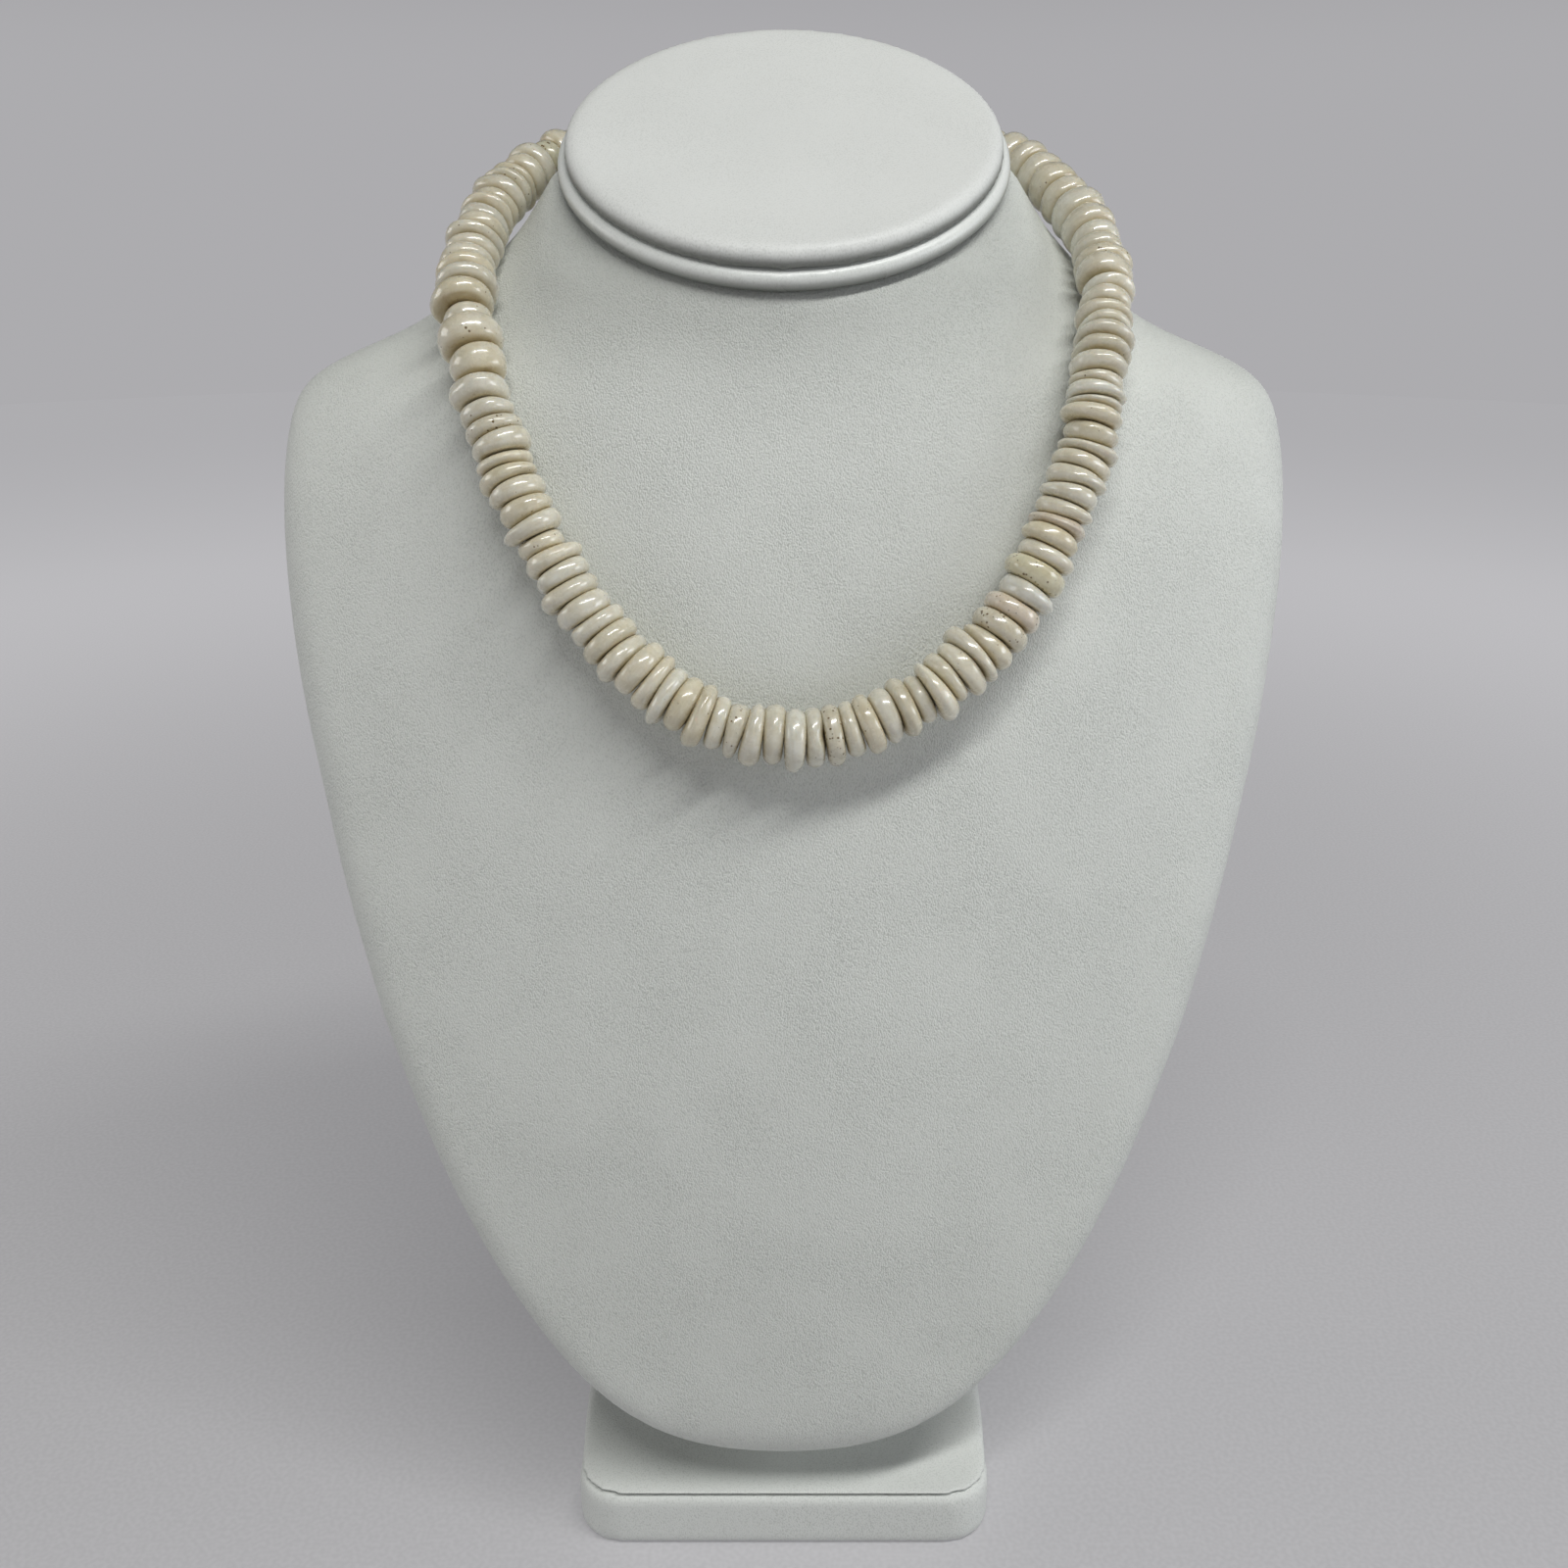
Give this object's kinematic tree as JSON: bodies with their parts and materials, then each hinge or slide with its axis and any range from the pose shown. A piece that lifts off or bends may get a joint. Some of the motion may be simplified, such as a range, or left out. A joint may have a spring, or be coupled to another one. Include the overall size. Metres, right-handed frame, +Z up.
{
  "type": "puka shell necklace on a neck bust",
  "caption": "Puka shell necklace of stacked shell discs, closed at the back with a barrel clasp, resting on a padded white neck bust with a foot.",
  "frame": {"origin": "centre of the foot's underside", "axes": "+Z up, -Y towards the front of the bust, +X to the viewer's right"},
  "size_m": [0.214, 0.1216, 0.3243],
  "materials": {
    "leatherette": "matte",
    "shell": "gloss",
    "thread": "matte",
    "clasp_metal": "satin"
  },
  "bodies": {
    "root": {"foot_slab": "leatherette", "foot_riser": "leatherette", "bust_form": "leatherette", "neck_welt": "leatherette", "neck_cap": "leatherette", "shell_beads_left": "shell", "shell_beads_right": "shell", "bead_thread": "thread", "barrel_clasp": "clasp_metal"}
  },
  "joints": []
}
